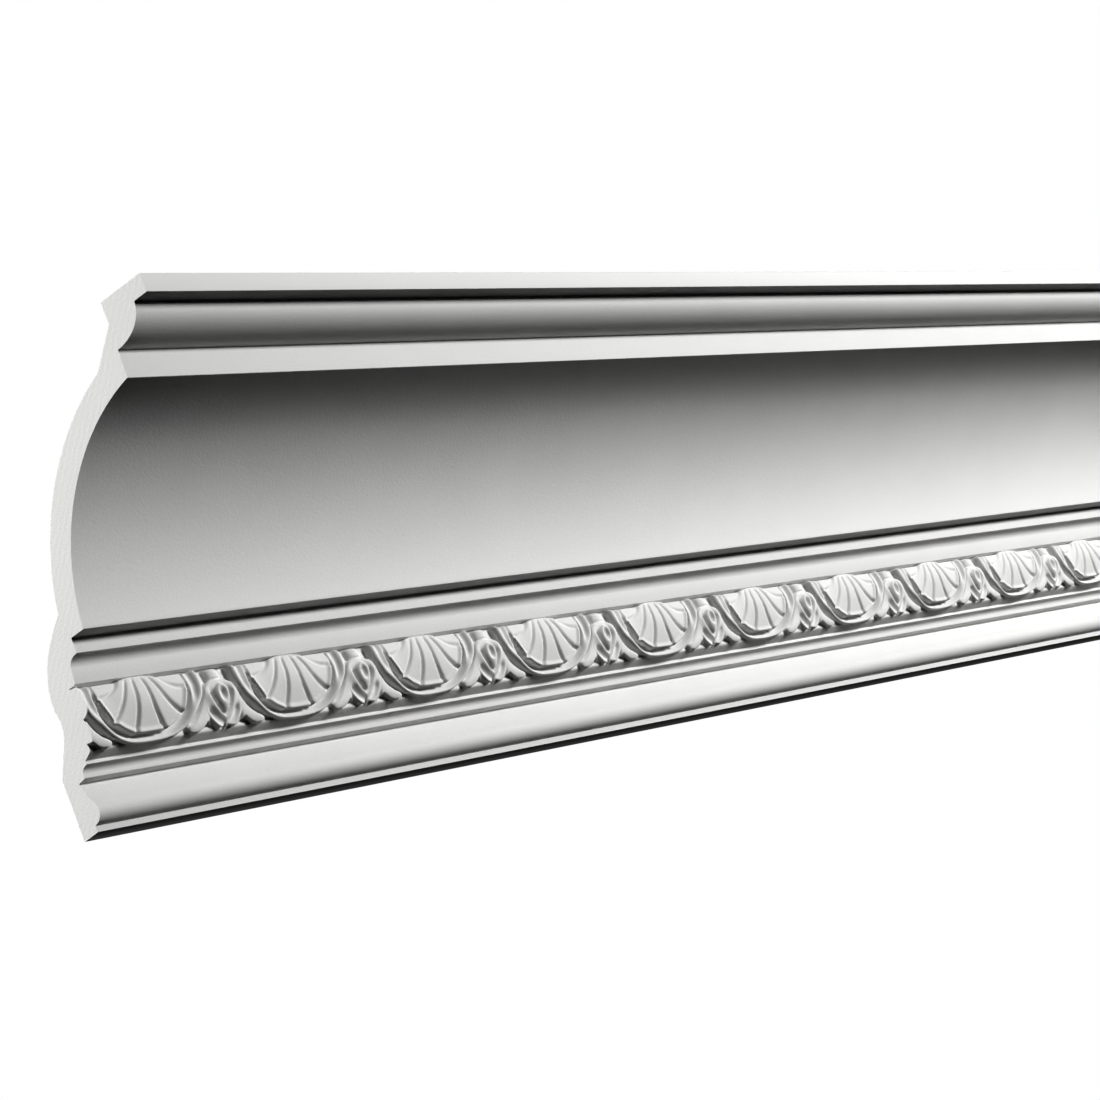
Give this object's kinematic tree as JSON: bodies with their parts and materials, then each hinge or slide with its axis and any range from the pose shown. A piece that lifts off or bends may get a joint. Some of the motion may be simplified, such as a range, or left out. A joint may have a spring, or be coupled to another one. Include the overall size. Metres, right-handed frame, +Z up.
{
  "type": "cornice moulding section",
  "caption": "Length of cornice moulding with a deep hollow cove above a carved band of shells, looped straps and leafy buds, cut square at both ends.",
  "frame": {"origin": "centre of the flat face that is fixed to the wall, at mid-length", "axes": "+X along the length, +Y into the wall, +Z up to the ceiling; the moulded face looks to -Y"},
  "size_m": [0.84, 0.1312, 0.175],
  "materials": {
    "primed_foam": "white primer, matt to satin, over cast hard foam"
  },
  "bodies": {
    "root": {"cornice_moulding": "primed_foam"}
  },
  "joints": []
}
